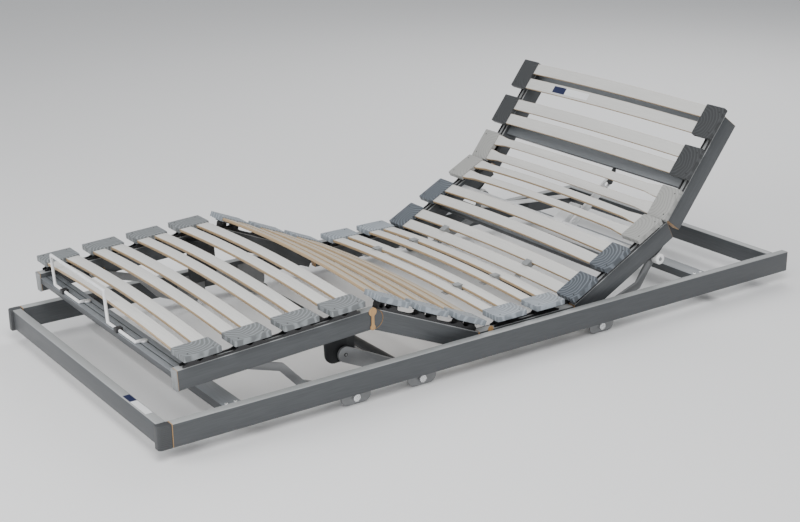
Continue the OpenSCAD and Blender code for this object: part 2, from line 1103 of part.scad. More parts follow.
module back_lift_tube() {
    color("slategray")
        lift_tube([back_lever_pivot[0], back_lever_pivot[2]]);
}

module back_lift_arms() {
    root = [back_lever_pivot[0], back_lever_pivot[2]];
    end = [roller_c[0], roller_c[2]];
    bend = root + [176, 62];
    elbow = root + [204, 104];
    color("slategray")
        both_sides()
            difference() {
                union() {
                    across(back_arm_in, back_arm_out)
                        union() {
                            translate(root)
                                circle(tube_r + 3);
                            link(root, bend, back_arm_r, back_arm_r);
                            link(bend, elbow, back_arm_r, back_arm_r);
                            link(elbow, end, back_arm_r, back_arm_r);
                        }
                    rod(end, pin_r, back_arm_in + 1, section_out - 1);
                }
                rod(root, tube_r, back_arm_in - 1, back_arm_out + 1);
            }
}

module back_roller() {
    difference() {
        rod([roller_c[0], roller_c[2]], roller_r, section_in + 1, section_out - 2);
        rod([roller_c[0], roller_c[2]], pin_r + pin_fit, section_in, section_out);
    }
}

module back_roller_near() {
    color("white")
        mirror([0, 1, 0])
            back_roller();
}

module back_roller_far() {
    color("white")
        back_roller();
}

// ---------- head section ----------

module head_rail() {
    at_head()
        section_rail(end_gap / 2, head_l, back_h);
}

module head_rail_near() {
    color("dimgray")
        mirror([0, 1, 0])
            head_rail();
}

module head_rail_far() {
    color("dimgray")
        head_rail();
}

module head_cross_board() {
    color("dimgray")
        at_head()
            for (x = [head_board_s, head_l - 54])
                translate([x, -section_in, -28])
                    cube([50, 2 * section_in, 16]);
}

// The turning leaves of the head hinge, and the clamp that holds the strut's upper pin
module head_brackets() {
    color("darkgray")
        at_head() {
            both_sides()
                bore_leaf(1);
            across(strut_y - strut_t / 2 - 6, strut_y - strut_t / 2 - turn_gap)
                link([head_board_s - 6, -21], [strut_end_s, strut_end_d], 6, 9);
            rod([strut_end_s, strut_end_d], pin_r, strut_y - strut_t / 2 - 4, strut_y + strut_t / 2 + 2);
        }
}

module head_mounts() {
    at_head()
        mounts(head_first, head_pairs);
}

module head_caps() {
    at_head()
        caps(head_first, head_pairs, "gray");
}

module head_slats() {
    at_head()
        slats(head_first, head_pairs);
}

// ---------- the nodes ----------

side_rail_near();
side_rail_far();
foot_cross_rail();
head_cross_rail();
corner_caps();
tie_boards();
frame_hangers();
support_brackets();
pivot_bolts();
seat_rails();
seat_hinges();
seat_mounts();
seat_caps();
seat_slats();
seat_slider_1_near();
seat_slider_1_far();
seat_slider_2_near();
seat_slider_2_far();
back_slider_near();
back_slider_far();
thigh_rail_near();
thigh_rail_far();
thigh_hinges();
thigh_mounts();
thigh_caps();
thigh_slats();
calf_rail_near();
calf_rail_far();
calf_foot_board();
calf_end_caps();
calf_mounts();
calf_caps();
calf_slats();
knee_plates();
mattress_retainer();
retainer_clips();
foot_stay_near();
foot_stay_far();
foot_lift_tube();
foot_lift_arms();
back_rail_near();
back_rail_far();
back_cross_board();
back_brackets();
back_mounts();
back_caps();
back_slats();
strut_anchor();
head_strut();
back_lift_tube();
back_lift_arms();
back_roller_near();
back_roller_far();
head_rail_near();
head_rail_far();
head_cross_board();
head_brackets();
head_mounts();
head_caps();
head_slats();
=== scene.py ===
"""Adjustable slatted bed base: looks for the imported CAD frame, laid out as an add-on."""

import json
import math

import bmesh
import bpy
from mathutils import Matrix, Vector

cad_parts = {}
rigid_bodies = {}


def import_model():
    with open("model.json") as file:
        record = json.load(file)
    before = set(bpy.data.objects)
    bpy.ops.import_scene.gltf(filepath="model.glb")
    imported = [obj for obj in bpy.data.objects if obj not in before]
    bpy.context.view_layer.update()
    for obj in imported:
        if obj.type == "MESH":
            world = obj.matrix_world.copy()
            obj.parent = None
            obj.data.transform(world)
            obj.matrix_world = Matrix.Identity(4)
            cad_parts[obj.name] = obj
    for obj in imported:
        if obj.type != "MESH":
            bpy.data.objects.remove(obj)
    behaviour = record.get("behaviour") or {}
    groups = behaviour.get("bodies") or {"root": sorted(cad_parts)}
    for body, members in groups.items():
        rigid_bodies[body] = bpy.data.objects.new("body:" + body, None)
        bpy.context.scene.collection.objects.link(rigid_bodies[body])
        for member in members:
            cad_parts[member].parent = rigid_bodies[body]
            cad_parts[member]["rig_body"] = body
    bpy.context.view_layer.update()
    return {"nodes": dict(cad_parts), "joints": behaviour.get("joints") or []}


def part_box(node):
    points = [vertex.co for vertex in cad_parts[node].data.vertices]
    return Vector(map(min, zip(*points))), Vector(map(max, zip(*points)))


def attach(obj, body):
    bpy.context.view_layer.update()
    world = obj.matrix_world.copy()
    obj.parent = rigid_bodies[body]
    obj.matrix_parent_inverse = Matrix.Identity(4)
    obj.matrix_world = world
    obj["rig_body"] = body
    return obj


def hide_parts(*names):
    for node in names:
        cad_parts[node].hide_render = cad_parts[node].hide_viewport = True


bl_info = {
    "name": "Adjustable bed base",
    "version": (1, 0, 0),
    "blender": (4, 5, 0),
    "location": "View3D > Sidebar > Bed base",
    "description": "Builds the surfaces, slats, fasteners and stage of an adjustable slatted bed base",
    "category": "Object",
}

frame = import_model()
JOINT = {j["name"]: j for j in frame["joints"]}
SECTIONS = ("seat", "thigh", "calf", "back", "head")
SECTION_JOINT = {
    "seat": "thigh_lift", "thigh": "thigh_lift", "calf": "calf_fold",
    "back": "back_lift", "head": "head_tilt"}


# ---------- sizes and colours ----------


def metres(name, words, value):
    """A length property with its default."""
    return bpy.props.FloatProperty(name=name, description=words, default=value, unit="LENGTH")


def degrees(name, words, value):
    """An angle property, with its default given in degrees."""
    return bpy.props.FloatProperty(
        name=name, description=words, default=math.radians(value), unit="ROTATION")


def colour(name, words, value):
    """A colour property with its default."""
    return bpy.props.FloatVectorProperty(
        name=name, description=words, subtype="COLOR", size=3, min=0, max=1, default=value)


class SectionPose(bpy.types.PropertyGroup):
    """How each section stands while the CAD frame is at rest."""

    thigh: degrees("Thigh", "Tilt of the thigh section", 23.2)
    calf: degrees("Calf", "Fall of the calf section", -2.9)
    back: degrees("Back", "Tilt of the back section", -27.4)
    head: degrees("Head", "Tilt of the head section", -52.9)


class SlatSizes(bpy.types.PropertyGroup):
    """Sizes of the sprung slats."""

    width: metres("Width", "Width of one slat", 0.035)
    thickness: metres("Thickness", "Thickness of one slat", 0.008)
    gap: metres("Gap", "Gap between the two slats of a pair", 0.016)
    pitch: metres("Pitch", "Distance from one pair to the next", 0.127)
    edge: metres("Edge", "Rounding of the long edges", 0.0016)
    crown: metres("Crown", "Rise of a slat in the middle", 0.012)
    waist: bpy.props.FloatProperty(
        name="Waist", description="How much narrower the slats beside the joint of back and head are",
        default=0.3, min=0, max=0.5)
    seat: metres("Seat", "Length of a slat inside its cap", 0.026)
    ring: metres("Ring", "Distance from one engraved arc to the next", 0.0095)


class FastenerSizes(bpy.types.PropertyGroup):
    """Sizes of screw heads and cap dimples."""

    screw: metres("Screw head", "Radius of a screw head", 0.0045)
    dimple: metres("Dimple", "Radius of a dimple in a cap", 0.003)


class BaseColours(bpy.types.PropertyGroup):
    """Colours of the surfaces."""

    foil: colour("Foil", "Grey foil on rails and boards", (0.066, 0.071, 0.076))
    # The foil edge colour is a painted highlight: the light line that light draws along the rails' top
    # edges.
    foil_edge_highlight: colour("Foil edge", "Painted highlight along the top edge of the foil", (0.34, 0.35, 0.35))
    core: colour("Core", "Cut beech at the rail ends", (0.47, 0.28, 0.12))
    slat: colour("Slat", "Foil on the slats", (0.66, 0.655, 0.63))
    slat_thigh: colour("Thigh slat", "Foil on the slats of the thigh section", (0.50, 0.43, 0.33))
    slat_edge: colour("Slat edge", "Bare beech edge of a slat", (0.50, 0.36, 0.21))
    cap: colour("Cap", "Blue-grey cap of the back section", (0.065, 0.075, 0.087))
    cap_blue: colour("Pale blue cap", "Cap of the seat and thigh sections", (0.21, 0.235, 0.26))
    cap_light: colour("Light cap", "Pale grey cap", (0.135, 0.145, 0.15))
    cap_wide: colour("Joint cap", "Light cap beside the joint of back and head", (0.36, 0.36, 0.345))
    cap_dark: colour("Dark cap", "Dark grey cap of the head section", (0.036, 0.038, 0.040))
    moulded: colour("Moulded grey", "Corner caps and sliders", (0.05, 0.053, 0.056))
    moulded_pale: colour("Pale moulded grey", "End caps and sliders", (0.26, 0.27, 0.275))
    # Black is also used as painted shade in the screw recesses and the cap dimples.
    black: colour("Black plastic", "Sliders and clips", (0.018, 0.018, 0.02))
    rubber: colour("Rubber", "Bodies under the caps", (0.012, 0.012, 0.013))
    steel_dark: colour("Dark steel", "Hinges, tubes and plates", (0.03, 0.032, 0.034))
    steel_zinc: colour("Zinc steel", "Brackets, levers and stays", (0.25, 0.255, 0.26))
    bolt: colour("Bolt", "Bright bolts", (0.82, 0.83, 0.84))
    wire: colour("Wire", "Retainer and strut", (0.80, 0.81, 0.82))
    nylon: colour("Nylon", "Rollers", (0.85, 0.85, 0.84))
    label_field: colour("Label field", "Plain field of a blank label", (0.82, 0.83, 0.84))
    label_band: colour("Label band", "Plain band of a blank label", (0.008, 0.014, 0.06))


class StageLook(bpy.types.PropertyGroup):
    """Camera, floor and lights."""

    eye: bpy.props.FloatVectorProperty(
        name="Eye", description="Place of the camera", size=3, unit="LENGTH",
        default=(-2.19819, -3.12239, 1.46390))
    azimuth: degrees("Azimuth", "Direction of the camera", -34.518)
    elevation: degrees("Elevation", "Height angle of the camera", 19.070)
    roll: degrees("Roll", "Roll of the camera", -0.633)
    lens: bpy.props.FloatProperty(
        name="Lens", description="Focal length in millimetres", default=66.11)
    floor: colour("Floor", "Pale floor", (0.86, 0.86, 0.86))
    key: bpy.props.FloatProperty(name="Key", description="Power of the key light", default=150.0)
    fill: bpy.props.FloatProperty(name="Fill", description="Power of the fill light", default=70.0)


SETTINGS = {
    "bed_pose": SectionPose,
    "bed_slats": SlatSizes,
    "bed_fasteners": FastenerSizes,
    "bed_colours": BaseColours,
    "bed_stage": StageLook,
}


def setting(name):
    """The settings group of that name."""
    return getattr(bpy.context.scene, name)


# ---------- section frames ----------


def section_matrix(name):
    """The frame of a section: X along it, Y across the bed, Z out of its top edge."""
    if name == "flat":
        return Matrix.Identity(4)
    place = Matrix.Translation(Vector(JOINT[SECTION_JOINT[name]]["pos_m"]))
    if name == "seat":
        return place
    return place @ Matrix.Rotation(getattr(setting("bed_pose"), name), 4, "Y")


def local_box(node, section):
    """Lowest and highest corner of a CAD node in a section's frame."""
    turn = section_matrix(section).inverted()
    points = [turn @ v.co for v in frame["nodes"][node].data.vertices]
    return (Vector([min(p[i] for p in points) for i in range(3)]),
            Vector([max(p[i] for p in points) for i in range(3)]))


def rail_nodes(section):
    """The CAD nodes of a section's rails."""
    return ("seat_rails",) if section == "seat" else (section + "_rail_near", section + "_rail_far")


def pair_count(low, high):
    """How many pairs of slats stand between two corners in a section's frame."""
    s = setting("bed_slats")
    return round((high.x - low.x - 2 * s.width - s.gap) / s.pitch) + 1


def aimed(section, point, way):
    """A point of a section's frame and the way that it faces, in the shared frame."""
    turn = section_matrix(section)
    return turn @ Vector(point), (turn.to_3x3() @ Vector(way)).normalized()


# ---------- materials ----------

EVEN = (1, 1, 1)
GRAIN_ALONG = (2.0, 45.0, 45.0)
GRAIN_ACROSS = (45.0, 2.0, 45.0)


class Finish:
    """A procedural material in a section's coordinates."""

    def __init__(self, name, section="flat", rough=0.5, metal=0.0):
        self.mat = bpy.data.materials.new(name)
        self.mat.use_nodes = True
        self.tree = self.mat.node_tree
        self.link = self.tree.links.new
        self.shader = self.tree.nodes["Principled BSDF"]
        self.shader.inputs["Roughness"].default_value = rough
        self.shader.inputs["Metallic"].default_value = metal
        turn = section_matrix(section).inverted()
        source = self.new("TexCoord")
        self.place = self.mapping(source.outputs["Object"], "POINT", turn.to_translation(), turn.to_euler())
        normal = self.mapping(source.outputs["Normal"], "VECTOR", (0, 0, 0), turn.to_euler())
        self.normal = self.split(normal)
        self.axis = self.split(self.place)
        self.bump_chain = None

    def new(self, kind, constants=()):
        """A new shader node, with some of its inputs set."""
        made = self.tree.nodes.new("ShaderNode" + kind)
        for key, value in dict(constants).items():
            made.inputs[key].default_value = value
        return made

    def mapping(self, source, kind, location=(0, 0, 0), rotation=(0, 0, 0), scale=EVEN):
        """A vector moved, turned and stretched."""
        node = self.new("Mapping", {"Rotation": rotation, "Scale": scale})
        node.vector_type = kind
        self.link(source, node.inputs["Vector"])
        if kind == "POINT":
            node.inputs["Location"].default_value = location
        return node.outputs[0]

    def split(self, vector):
        """The X, Y and Z of a vector."""
        node = self.new("SeparateXYZ")
        self.link(vector, node.inputs[0])
        return node.outputs

    def math(self, operation, a, b=0.0):
        """One step of arithmetic on sockets or numbers."""
        node = self.new("Math")
        node.operation = operation
        for i, value in enumerate((a, b)):
            if isinstance(value, (int, float)):
                node.inputs[i].default_value = value
            else:
                self.link(value, node.inputs[i])
        return node.outputs[0]

    def noise(self, stretch, scale, detail=3.0):
        """Noise, finer along an axis with a larger stretch."""
        node = self.new("TexNoise", {"Scale": scale, "Detail": detail})
        self.link(self.mapping(self.place, "POINT", scale=stretch), node.inputs["Vector"])
        return node.outputs["Fac"]

    def wave(self, scale, distortion, direction):
        """Bands that follow each other along one axis."""
        node = self.new("TexWave", {"Scale": scale, "Distortion": distortion, "Detail": 2.0})
        node.bands_direction = direction
        self.link(self.place, node.inputs["Vector"])
        return node.outputs["Fac"]

    def ramp(self, factor, low, high, start=0.0, end=1.0):
        """The factor's stretch from start to end, laid on low to high."""
        node = self.new("MapRange", {"From Min": start, "From Max": end, "To Min": low, "To Max": high})
        self.link(factor, node.inputs["Value"])
        return node.outputs[0]

    def mix(self, factor, a, b):
        """From colour a at 0 to colour b at 1."""
        node = self.new("Mix")
        node.data_type = "RGBA"
        self.link(factor, node.inputs[0])
        for socket, value in ((node.inputs[6], a), (node.inputs[7], b)):
            if hasattr(value, "node"):
                self.link(value, socket)
            else:
                socket.default_value = (*value, 1)
        return node.outputs[2]

    def shade(self, value, by):
        """A colour made darker or lighter."""
        return tuple(min(1.0, c * by) for c in value)

    def colour(self, value):
        """The surface's colour."""
        self.link(value, self.shader.inputs["Base Color"])

    def rough(self, factor, low, high):
        """The surface's roughness."""
        self.link(self.ramp(factor, low, high), self.shader.inputs["Roughness"])

    def bump(self, height, strength, depth):
        """Relief on top of what is there already."""
        node = self.new("Bump", {"Strength": strength, "Distance": depth})
        self.link(height, node.inputs["Height"])
        if self.bump_chain is not None:
            self.link(self.bump_chain, node.inputs["Normal"])
        self.bump_chain = node.outputs[0]
        self.link(self.bump_chain, self.shader.inputs["Normal"])

    def faces_along(self, limit):
        """1 on faces that look along the section, 0 elsewhere."""
        return self.math("GREATER_THAN", self.math("ABSOLUTE", self.normal[0]), limit)

    def clean(self, factor, low, high):
        """The factor cut to the stretch from low to high, as 0 to 1."""
        return self.ramp(factor, 0.0, 1.0, low, high)


def foil_body(f, stretch, dark, light):
    """The foil's grain and its colour, between two shades."""
    base = setting("bed_colours").foil
    grain = f.noise(stretch, 9.0, 5.0)
    return grain, f.mix(f.clean(grain, 0.3, 0.7), f.shade(base, dark), f.shade(base, light))


def painted_top_highlight(f, body, top):
    """The body's colour with a painted highlight, a light line along the top edge."""
    line, blur = 0.0022, 0.001
    edge = f.clean(f.axis[2], top - line, top - line + blur)
    return f.mix(edge, body, setting("bed_colours").foil_edge_highlight)


def foil(name, section, top):
    """Grey foil over beech: fine grain along the rail, a painted highlight along the top edge and bare cut
    ends.
    """
    c = setting("bed_colours")
    f = Finish(name, section, 0.42)
    grain, body = foil_body(f, GRAIN_ALONG, 0.86, 1.12)
    # painted highlight: a light line along the top edge of the rail
    lit = painted_top_highlight(f, body, top)
    rings = f.wave(95.0, 1.5, "Y")
    core = f.mix(rings, c.core, f.shade(c.core, 0.72))
    f.colour(f.mix(f.faces_along(0.35), lit, core))
    f.rough(grain, 0.36, 0.52)
    f.bump(f.noise(EVEN, 420.0, 2.0), 0.12, 0.0003)
    f.bump(grain, 0.15, 0.0004)
    return f.mat


def cross_foil(node, top):
    """Foil whose grain runs across the bed, for the cross rails."""
    f = Finish("foil_" + node, "flat", 0.42)
    grain, body = foil_body(f, GRAIN_ACROSS, 0.84, 1.1)
    # painted highlight along the top edge of the cross rail
    f.colour(painted_top_highlight(f, body, top))
    f.rough(grain, 0.36, 0.52)
    f.bump(grain, 0.15, 0.0004)
    return f.mat


def board_foil(name, section="flat"):
    """A board in grey foil: the upper face is a lit copy of the foil, painted pale as light from above; the
    sides are the darker plain foil.
    """
    f = Finish(name, section, 0.42)
    grain, side = foil_body(f, GRAIN_ACROSS, 0.85, 1.1)
    # painted light: the upper face gets the same foil 2.6 to 3.1 times lighter, as lit from above
    face = foil_body(f, GRAIN_ACROSS, 2.6, 3.1)[1]
    # faces that look up take the painted light, the sides keep the plain foil
    f.colour(f.mix(f.math("GREATER_THAN", f.normal[2], 0.7), side, face))
    f.rough(grain, 0.34, 0.5)
    f.bump(grain, 0.15, 0.0004)
    return f.mat


def slat_foil(name, section, base):
    """Off-white foil with a faint grain along the slat and bare ply edges."""
    c = setting("bed_colours")
    f = Finish(name, section, 0.4)
    grain = f.noise((60.0, 2.2, 60.0), 6.0, 6.0)
    patch = f.noise((3.0, 0.7, 3.0), 3.0, 2.0)
    body = f.mix(f.clean(grain, 0.35, 0.75), f.shade(base, 1.04), f.shade(base, 0.87))
    body = f.mix(f.clean(patch, 0.3, 0.8), body, f.shade(base, 0.93))
    ply = f.wave(190.0, 0.6, "Z")
    edge = f.mix(ply, c.slat_edge, f.shade(c.slat_edge, 0.66))
    f.colour(f.mix(f.faces_along(0.55), body, edge))
    f.rough(grain, 0.34, 0.5)
    f.bump(grain, 0.12, 0.0004)
    return f.mat


def cap_plastic(name, section, base, line, light=None, start=0.0, end=0.0):
    """Moulded cap with engraved arcs like growth rings, the same on every pair.

    line is the brightness of the arcs; pairs between start and end have the light colour."""
    s = setting("bed_slats")
    f = Finish(name, section, 0.48)
    low = local_box(section + "_caps", section)[0]
    slats = local_box(section + "_slats", section)
    length = 2 * s.width + s.gap + 2 * (slats[0].x - low.x)
    centre_x, centre_y = length * 0.42, slats[1].y - s.seat - 0.004
    whole_pitches, wander = 8, 0.011
    along = f.math("MODULO", f.math("ADD", f.axis[0], whole_pitches * s.pitch - low.x), s.pitch)
    dx = f.math("SUBTRACT", along, centre_x)
    dy = f.math("SUBTRACT", f.math("ABSOLUTE", f.axis[1]), centre_y)
    radius = f.math("SQRT", f.math("ADD", f.math("MULTIPLY", dx, dx), f.math("MULTIPLY", dy, dy)))
    drift = f.math("MULTIPLY", f.noise(EVEN, 34.0, 1.0), wander)
    turns = f.math("MULTIPLY", f.math("ADD", radius, drift), 2 * math.pi / s.ring)
    cut = f.clean(f.math("SINE", turns), 0.1, 0.85)
    body = f.mix(cut, base, f.shade(base, line))
    if light is not None:
        pale = f.mix(cut, light, f.shade(light, 0.8))
        after, before = f.math("GREATER_THAN", f.axis[0], start), f.math("LESS_THAN", f.axis[0], end)
        chosen = f.math("MULTIPLY", after, before)
        body = f.mix(chosen, body, pale)
    f.colour(body)
    f.rough(f.noise(EVEN, 60.0), 0.4, 0.58)
    f.bump(cut, -0.4, 0.0007)
    f.bump(f.noise(EVEN, 900.0, 1.0), 0.12, 0.0002)
    return f.mat


def moulded(name, base, section="flat", rough=0.5, ridges=0.0, direction="Z"):
    """Moulded plastic or rubber with a fine sprayed grain, and ridges where asked."""
    f = Finish(name, section, rough)
    patch = f.noise(EVEN, 35.0, 2.0)
    f.colour(f.mix(patch, f.shade(base, 0.86), f.shade(base, 1.16)))
    f.rough(patch, rough - 0.07, rough + 0.09)
    f.bump(f.noise(EVEN, 1100.0, 1.0), 0.2, 0.0002)
    if ridges:
        f.bump(f.wave(ridges, 0.0, direction), 0.5, 0.0012)
    return f.mat


def metal(name, base, section="flat", rough=0.4, metallic=0.0, brushed=EVEN):
    """Coated or plated steel with faint clouding and brushing."""
    f = Finish(name, section, rough, metallic)
    cloud = f.noise(EVEN, 22.0, 4.0)
    brush = f.noise(brushed, 300.0, 2.0)
    f.colour(f.mix(f.clean(cloud, 0.25, 0.75), f.shade(base, 0.88), f.shade(base, 1.1)))
    f.rough(brush, rough - 0.08, rough + 0.12)
    f.bump(brush, 0.08, 0.0002)
    return f.mat


def label_paper(name, y_from, y_to):
    """A blank label: a plain pale field with a plain band at one end."""
    c = setting("bed_colours")
    f = Finish(name, "flat", 0.35)
    band = f.clean(f.axis[1], y_from, y_to)
    fibre = f.noise(EVEN, 260.0, 2.0)
    field = f.mix(fibre, f.shade(c.label_field, 0.95), c.label_field)
    f.colour(f.mix(band, field, c.label_band))
    f.bump(fibre, 0.05, 0.0001)
    return f.mat


# ---------- mesh helpers ----------


def linked(name, data):
    """A new object in the scene with that data."""
    made = bpy.data.objects.new(name, data)
    bpy.context.scene.collection.objects.link(made)
    return made


def finish_piece(name, mesh, body, material=None):
    """A finished object on its body, with its material."""
    piece = linked(name, mesh)
    if material is not None:
        piece.data.materials.clear()
        piece.data.materials.append(material)
    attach(piece, body)
    return piece


def baked(obj):
    """The evaluated mesh of an object as a plain mesh; the object is removed."""
    bpy.context.view_layer.update()
    graph = bpy.context.evaluated_depsgraph_get()
    mesh = bpy.data.meshes.new_from_object(obj.evaluated_get(graph), depsgraph=graph)
    bpy.data.objects.remove(obj)
    return mesh


def smooth(mesh, angle=35):
    """Smooth shading, with the edges above an angle in degrees kept sharp."""
    mesh.polygons.foreach_set("use_smooth", [True] * len(mesh.polygons))
    mesh.set_sharp_from_angle(angle=math.radians(angle))
    mesh.update()


def written(shape, name):
    """A bmesh written out as a mesh, and freed."""
    mesh = bpy.data.meshes.new(name)
    shape.to_mesh(mesh)
    shape.free()
    return mesh


def merged(node):
    """The loose triangles of a CAD node, joined, as a bmesh."""
    shape = bmesh.new()
    shape.from_mesh(frame["nodes"][node].data)
    bmesh.ops.remove_doubles(shape, verts=shape.verts, dist=1e-5)
    return shape


def bevelled(name, mesh, width, segments, angle):
    """The mesh with its edges above an angle in degrees rounded."""
    work = linked(name, mesh)
    bevel = work.modifiers.new("Edges", "BEVEL")
    bevel.width = width
    bevel.segments = segments
    bevel.limit_method = "ANGLE"
    bevel.angle_limit = math.radians(angle)
    return baked(work)


def softened(node, material, width, segments=2):
    """A piece with rounded edges that stands for one CAD node."""
    shape = merged(node)
    bmesh.ops.dissolve_limit(
        shape, angle_limit=math.radians(0.8), verts=shape.verts, edges=shape.edges, delimit={"NORMAL"})
    result = bevelled(node + "_rough", written(shape, node + "_rough"), width, segments, 40)
    smooth(result)
    piece = finish_piece("piece_" + node, result, frame["nodes"][node]["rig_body"], material)
    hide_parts(node)


def bar(shape, rows):
    """Joins rows of four corners into a closed bar."""
    for a, b in zip(rows, rows[1:]):
        for k in range(4):
            shape.faces.new((a[k], a[(k + 1) % 4], b[(k + 1) % 4], b[k]))
    shape.faces.new(rows[0])
    shape.faces.new(rows[-1])


def plate(name, outline, y, depth):
    """A plate with an outline in X and Z, from one place in Y to a depth beyond it."""
    shape = bmesh.new()
    face = shape.faces.new([shape.verts.new((px, y, pz)) for px, pz in outline])
    grown = bmesh.ops.extrude_face_region(shape, geom=[face])
    for v in grown["geom"]:
        if isinstance(v, bmesh.types.BMVert):
            v.co.y += depth
    bmesh.ops.recalc_face_normals(shape, faces=shape.faces)
    return written(shape, name)


def waisted_outline(x, bottom, top, r_low, r_top, neck):
    """A round foot and a round head with a neck between them, as an outline round x."""
    steps, tip = 28, 0.001
    right = []
    for k in range(steps + 1):
        z = bottom + (top - bottom) * k / steps
        wide = neck
        for centre, r in ((bottom + r_low, r_low), (top - r_top, r_top)):
            square = r * r - (z - centre) ** 2
            if square > 0:
                wide = max(wide, math.sqrt(square))
        right.append((tip if k in (0, steps) else wide, z))
    return [(x + w, z) for w, z in right] + [(x - w, z) for w, z in reversed(right)]


# ---------- Geometry Nodes ----------


class Tree:
    """A Geometry Nodes tree with named inputs."""

    def __init__(self, name):
        self.group = bpy.data.node_groups.new(name, "GeometryNodeTree")
        self.group.interface.new_socket("Geometry", in_out="INPUT", socket_type="NodeSocketGeometry")
        self.group.interface.new_socket("Geometry", in_out="OUTPUT", socket_type="NodeSocketGeometry")
        self.ids = {}

    def socket(self, name, kind):
        """A named input of the tree."""
        made = self.group.interface.new_socket(name, in_out="INPUT", socket_type="NodeSocket" + kind)
        self.ids[name] = made.identifier

    def start(self):
        """The tree's own ends, once its sockets are there."""
        self.input = self.group.nodes.new("NodeGroupInput").outputs
        self.output = self.group.nodes.new("NodeGroupOutput").inputs[0]

    def link(self, source, target):
        """Joins a socket to the target, or sets the target to a constant."""
        if hasattr(source, "is_output"):
            self.group.links.new(source, target)
        else:
            target.default_value = source

    def node(self, kind, inputs=(), **options):
        """The outputs of a new node."""
        made = self.group.nodes.new(kind)
        for key, value in options.items():
            setattr(made, key, value)
        for key, value in dict(inputs).items():
            self.link(value, made.inputs[key])
        return made.outputs

    def math(self, operation, a, b=0.0):
        """One step of arithmetic on sockets or numbers."""
        return self.node("ShaderNodeMath", {0: a, 1: b}, operation=operation)[0]

    def vector(self, x, y, z):
        """A vector of three sockets or numbers."""
        return self.node("ShaderNodeCombineXYZ", {0: x, 1: y, 2: z})[0]

    def run(self, source, values, name):
        """The mesh that the tree makes from a source mesh."""
        work = linked(name, source)
        modifier = work.modifiers.new(name, "NODES")
        modifier.node_group = self.group
        for key, value in values.items():
            modifier[self.ids[key]] = value
        return baked(work)


def slat_tree():
    """Pairs of arched slats, side by side, at an even pitch."""
    t = Tree("slat_row")
    for name in ("Width", "Thickness", "Gap", "Pitch", "Edge", "Length", "Crown", "Waist", "Start", "Base"):
        t.socket(name, "Float")
    t.socket("Pairs", "Int")
    t.socket("Material", "Material")
    t.start()
    i = t.input
    rows_along, corner_cut = 49, 0.3
    narrow_until, full_from = 0.78, 0.92
    blank = t.node("GeometryNodeMeshCube", {
        "Size": t.vector(i["Width"], i["Length"], i["Thickness"]),
        "Vertices X": 4, "Vertices Y": rows_along, "Vertices Z": 4})["Mesh"]
    place = t.node("ShaderNodeSeparateXYZ", {0: t.node("GeometryNodeInputPosition")[0]})

    def pulled(value, full):
        """Moves the inner rows of the blank out to the start of the rounding."""
        outer = t.math("GREATER_THAN", t.math("ABSOLUTE", value), t.math("MULTIPLY", full, 0.33))
        inner = t.math("SUBTRACT", t.math("MULTIPLY", full, 0.5), i["Edge"])
        half = t.math("ADD", inner, t.math("MULTIPLY", outer, i["Edge"]))
        return t.math("MULTIPLY", t.math("SIGN", value), half), outer

    x, x_outer = pulled(place[0], i["Width"])
    z, z_outer = pulled(place[2], i["Thickness"])
    both = t.math("MULTIPLY", x_outer, z_outer)
    cut = t.math("MULTIPLY", both, t.math("MULTIPLY", i["Edge"], corner_cut))
    x = t.math("SUBTRACT", x, t.math("MULTIPLY", t.math("SIGN", x), cut))
    z = t.math("SUBTRACT", z, t.math("MULTIPLY", t.math("SIGN", z), cut))
    share = t.math("DIVIDE", place[1], t.math("MULTIPLY", i["Length"], 0.5))
    square = t.math("MULTIPLY", share, share)
    narrow = t.node("ShaderNodeMapRange", {
        "Value": t.math("ABSOLUTE", share), 1: narrow_until, 2: full_from, 3: 1.0, 4: 0.0},
        interpolation_type="SMOOTHSTEP")[0]
    waist = t.math("SUBTRACT", 1.0, t.math("MULTIPLY", i["Waist"], narrow))
    x = t.math("MULTIPLY", x, waist)
    rise = t.math("MULTIPLY", i["Crown"], t.math("SUBTRACT", 1.0, square))
    shaped = t.node("GeometryNodeSetPosition", {
        "Geometry": blank, "Position": t.vector(x, place[1], t.math("ADD", z, rise))})[0]
    rows = t.node("GeometryNodeJoinGeometry")
    for shift in (0.0, 1.0):
        step = t.math("MULTIPLY", t.math("ADD", i["Width"], i["Gap"]), shift)
        first = t.vector(t.math("ADD", i["Start"], step), 0.0, i["Base"])
        line = t.node("GeometryNodeMeshLine", {
            "Count": i["Pairs"], "Start Location": first, "Offset": t.vector(i["Pitch"], 0.0, 0.0)},
            mode="OFFSET")["Mesh"]
        t.link(line, rows[0].node.inputs[0])
    placed = t.node("GeometryNodeInstanceOnPoints", {"Points": rows[0], "Instance": shaped})[0]
    real = t.node("GeometryNodeRealizeInstances", {0: placed})[0]
    painted = t.node("GeometryNodeSetMaterial", {"Geometry": real, "Material": i["Material"]})[0]
    t.link(painted, t.output)
    return t


